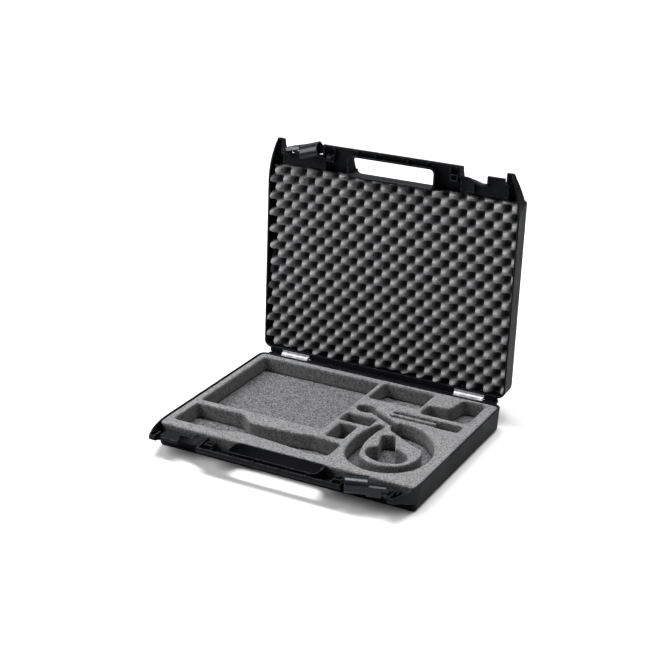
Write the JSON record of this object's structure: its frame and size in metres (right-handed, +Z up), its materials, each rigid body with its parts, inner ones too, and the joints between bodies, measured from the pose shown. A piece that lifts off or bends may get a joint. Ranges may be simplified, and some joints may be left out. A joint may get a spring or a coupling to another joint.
{
  "type": "foam-lined carrying case",
  "caption": "Open plastic carrying case with like half shells, a handle, turning latches, hinges, a cut foam insert and an egg-crate foam lid.",
  "frame": {"origin": "middle of the base's underside, below the middle of the box and on the floor", "axes": "+X along the width with the base's latch on that side, +Y from the handle to the hinges, +Z up"},
  "size_m": [0.438, 0.4276, 0.4141],
  "materials": {
    "case_plastic": "satin",
    "latch_plastic": "satin",
    "insert_foam": "matte",
    "pad_foam": "matte",
    "egg_crate_foam": "matte",
    "hinge_metal": "satin",
    "rivet_metal": "satin",
    "steel": "satin"
  },
  "bodies": {
    "base": {"base_shell": "case_plastic", "base_foam_insert": "insert_foam", "base_foam_pad": "pad_foam", "base_latch_pin": "steel", "hinge_base_leaf_right": "hinge_metal", "hinge_base_leaf_left": "hinge_metal", "hinge_pin_right": "steel", "hinge_pin_left": "steel", "base_hinge_rivets": "rivet_metal"},
    "lid": {"lid_shell": "case_plastic", "lid_foam": "egg_crate_foam", "lid_latch_pin": "steel", "hinge_lid_leaf_right": "hinge_metal", "hinge_lid_leaf_left": "hinge_metal", "lid_hinge_rivets": "rivet_metal"},
    "base_latch": {"base_latch": "latch_plastic"},
    "lid_latch": {"lid_latch": "latch_plastic"}
  },
  "joints": [
    {"name": "lid_hinge", "type": "hinge", "parent": "base", "child": "lid", "pos_m": [0, 0.167, 0.0406], "axis": [1, 0, 0], "range_deg": [0, 92.4]},
    {"name": "base_latch_turn", "type": "hinge", "parent": "base", "child": "base_latch", "pos_m": [0.1855, -0.185, 0.0355], "axis": [0, 0, 1], "range_deg": [-14, 16]},
    {"name": "lid_latch_turn", "type": "hinge", "parent": "lid", "child": "lid_latch", "pos_m": [-0.1855, 0.18174, 0.39229], "axis": [0, -0.9991, 0.0419], "range_deg": [-14, 16]}
  ]
}
